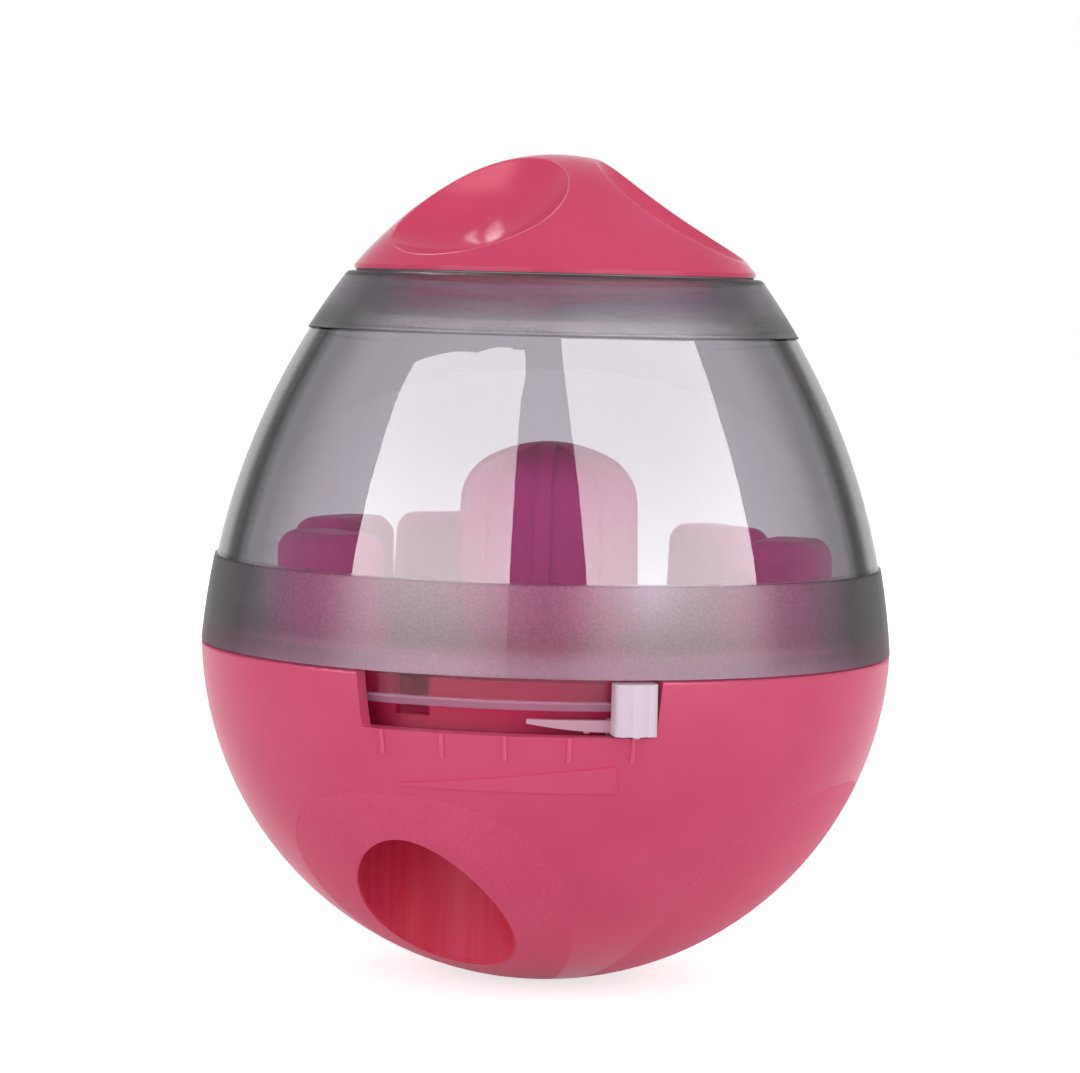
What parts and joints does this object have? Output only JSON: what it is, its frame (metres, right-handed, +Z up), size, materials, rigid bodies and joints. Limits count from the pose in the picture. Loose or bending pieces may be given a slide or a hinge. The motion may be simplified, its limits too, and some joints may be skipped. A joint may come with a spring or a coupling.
{
  "type": "treat ball",
  "caption": "Egg-shaped tumbling treat dispenser for pets, with a weighted bowl, an adjustable outlet gate, a labyrinth tray under a smoky dome and a screw cap with finger scoops.",
  "frame": {"origin": "middle of the flat foot under the bowl, on the surface that the toy stands on", "axes": "+Z up along the egg's axis; the window with the gate's knob faces -Y"},
  "size_m": [0.112, 0.112, 0.1335],
  "materials": {
    "pink_gloss": "polished, coral pink",
    "pink_inner": "satin, coral pink",
    "pale_plastic": "satin, pale lilac grey",
    "smoky_clear": "smoky clear plastic with two frosted bands",
    "steel": "turned",
    "screw_steel": "bright zinc plated",
    "seal_rubber": "matt, dark"
  },
  "bodies": {
    "bowl": {"bowl": "pink_gloss", "counterweight": "steel", "screws": "screw_steel", "deck": "pink_inner", "labyrinth_tray": "pink_inner"},
    "gate": {"gate": "pale_plastic"},
    "dome": {"dome": "smoky_clear"},
    "cap_seal": {"cap_seal": "seal_rubber"},
    "cap": {"cap": "pink_gloss"}
  },
  "joints": [
    {"name": "gate_turn", "type": "hinge", "parent": "bowl", "child": "gate", "pos_m": [0, 0, 0.0416], "axis": [0, 0, 1], "range_deg": [-40.4, 0]},
    {"name": "dome_turn", "type": "hinge", "parent": "bowl", "child": "dome", "pos_m": [0, 0, 0.0503], "axis": [0, 0, 1], "range_deg": [0, 25]},
    {"name": "cap_lift", "type": "slide", "parent": "dome", "child": "cap_seal", "axis": [0, 0, 1], "range_m": [0, 0.0075]},
    {"name": "cap_turn", "type": "hinge", "parent": "cap_seal", "child": "cap", "pos_m": [0, 0, 0.1143], "axis": [0, 0, 1], "range_deg": [0, 450]}
  ],
  "couplings": [
    {"joint": "cap_lift", "follows": "cap_turn", "m_per_rad": 0.00095493}
  ]
}
